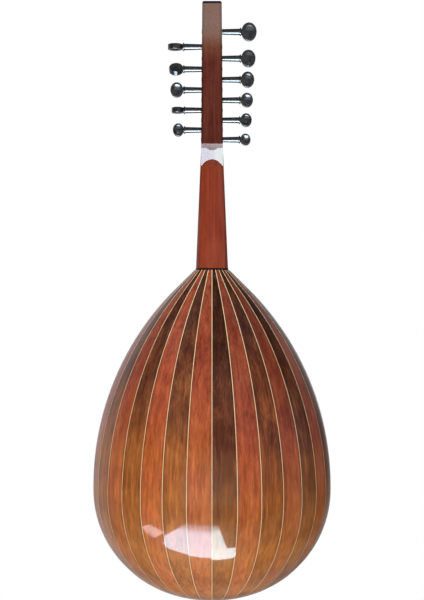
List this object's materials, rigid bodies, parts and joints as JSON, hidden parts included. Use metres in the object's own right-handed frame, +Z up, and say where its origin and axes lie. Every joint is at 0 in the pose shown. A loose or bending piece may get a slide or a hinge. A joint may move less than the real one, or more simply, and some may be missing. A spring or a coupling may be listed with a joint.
{
  "type": "oud",
  "caption": "Short-necked fretless lute with a deep staved bowl, bent-back pegbox, turning pegs, soundboard with openwork rosettes, and strings.",
  "frame": {"origin": "the corner where the fingerboard plane meets the pegbox, where a wall hanger's yoke holds the neck", "axes": "+Z up the neck, +Y out of the soundboard, +X to the bass side; the bowl bulges to -Y"},
  "size_m": [0.35, 0.1856, 0.8479],
  "materials": {
    "rib_dark_wood": "gloss lacquer",
    "rib_red_wood": "gloss lacquer",
    "pale_stringing": "gloss lacquer",
    "inner_spruce": "bare wood",
    "soundboard_spruce": "thin satin",
    "binding_wood": "satin",
    "ebony": "polished",
    "bridge_walnut": "satin",
    "neck_wood": "gloss lacquer",
    "bone": "polished bone",
    "rosette_wood": "satin",
    "pegbox_wood": "gloss lacquer",
    "peg_ebony": "polished",
    "wound_string": "silvered winding",
    "nylon_string": "clear nylon"
  },
  "bodies": {
    "oud": {"rib_left_1": "rib_red_wood", "rib_left_2": "rib_dark_wood", "rib_left_3": "rib_red_wood", "rib_left_4": "rib_dark_wood", "rib_left_5": "rib_red_wood", "rib_left_6": "rib_dark_wood", "rib_left_7": "rib_red_wood", "rib_left_8": "rib_dark_wood", "rib_right_1": "rib_dark_wood", "rib_right_2": "rib_red_wood", "rib_right_3": "rib_dark_wood", "rib_right_4": "rib_red_wood", "rib_right_5": "rib_dark_wood", "rib_right_6": "rib_red_wood", "rib_right_7": "rib_dark_wood", "rib_right_8": "rib_red_wood", "rib_stringing": "pale_stringing", "end_clasp": "rib_dark_wood", "neck_block": "inner_spruce", "tail_block": "inner_spruce", "braces": "inner_spruce", "soundboard_left": "soundboard_spruce", "soundboard_right": "soundboard_spruce", "edge_binding": "binding_wood", "pickguard": "ebony", "bridge": "bridge_walnut", "neck": "neck_wood", "neck_ring": "ebony", "fingerboard": "ebony", "nut": "bone", "rosette_large": "rosette_wood", "rosettes_small": "rosette_wood", "pegbox_left_cheek": "pegbox_wood", "pegbox_right_cheek": "pegbox_wood", "pegbox_back": "pegbox_wood", "pegbox_end_block": "pegbox_wood", "pegbox_cap": "ebony", "pegbox_heel": "pegbox_wood", "string_1": "wound_string", "string_2": "wound_string", "string_3": "wound_string", "string_4": "wound_string", "string_5": "wound_string", "string_6": "wound_string", "string_7": "wound_string", "string_8": "nylon_string", "string_9": "nylon_string", "string_10": "nylon_string", "string_11": "nylon_string"},
    "peg_right_1": {"peg_right_1": "peg_ebony"},
    "peg_right_2": {"peg_right_2": "peg_ebony"},
    "peg_right_3": {"peg_right_3": "peg_ebony"},
    "peg_right_4": {"peg_right_4": "peg_ebony"},
    "peg_right_5": {"peg_right_5": "peg_ebony"},
    "peg_right_6": {"peg_right_6": "peg_ebony"},
    "peg_left_1": {"peg_left_1": "peg_ebony"},
    "peg_left_2": {"peg_left_2": "peg_ebony"},
    "peg_left_3": {"peg_left_3": "peg_ebony"},
    "peg_left_4": {"peg_left_4": "peg_ebony"},
    "peg_left_5": {"peg_left_5": "peg_ebony"}
  },
  "joints": [
    {"name": "peg_right_1_turn", "type": "hinge", "parent": "oud", "child": "peg_right_1", "pos_m": [0, -0.13301, 0.13778], "axis": [1, 0, 0], "continuous": true},
    {"name": "peg_right_2_turn", "type": "hinge", "parent": "oud", "child": "peg_right_2", "pos_m": [0, -0.1168, 0.10461], "axis": [1, 0, 0], "continuous": true},
    {"name": "peg_right_3_turn", "type": "hinge", "parent": "oud", "child": "peg_right_3", "pos_m": [0, -0.09447, 0.07951], "axis": [1, 0, 0], "continuous": true},
    {"name": "peg_right_4_turn", "type": "hinge", "parent": "oud", "child": "peg_right_4", "pos_m": [0, -0.07198, 0.05454], "axis": [1, 0, 0], "continuous": true},
    {"name": "peg_right_5_turn", "type": "hinge", "parent": "oud", "child": "peg_right_5", "pos_m": [0, -0.0495, 0.02957], "axis": [1, 0, 0], "continuous": true},
    {"name": "peg_right_6_turn", "type": "hinge", "parent": "oud", "child": "peg_right_6", "pos_m": [0, -0.02702, 0.0046], "axis": [1, 0, 0], "continuous": true},
    {"name": "peg_left_1_turn", "type": "hinge", "parent": "oud", "child": "peg_left_1", "pos_m": [0, -0.12586, 0.11873], "axis": [1, 0, 0], "continuous": true},
    {"name": "peg_left_2_turn", "type": "hinge", "parent": "oud", "child": "peg_left_2", "pos_m": [0, -0.10571, 0.092], "axis": [1, 0, 0], "continuous": true},
    {"name": "peg_left_3_turn", "type": "hinge", "parent": "oud", "child": "peg_left_3", "pos_m": [0, -0.08323, 0.06703], "axis": [1, 0, 0], "continuous": true},
    {"name": "peg_left_4_turn", "type": "hinge", "parent": "oud", "child": "peg_left_4", "pos_m": [0, -0.06074, 0.04206], "axis": [1, 0, 0], "continuous": true},
    {"name": "peg_left_5_turn", "type": "hinge", "parent": "oud", "child": "peg_left_5", "pos_m": [0, -0.03826, 0.01709], "axis": [1, 0, 0], "continuous": true}
  ]
}
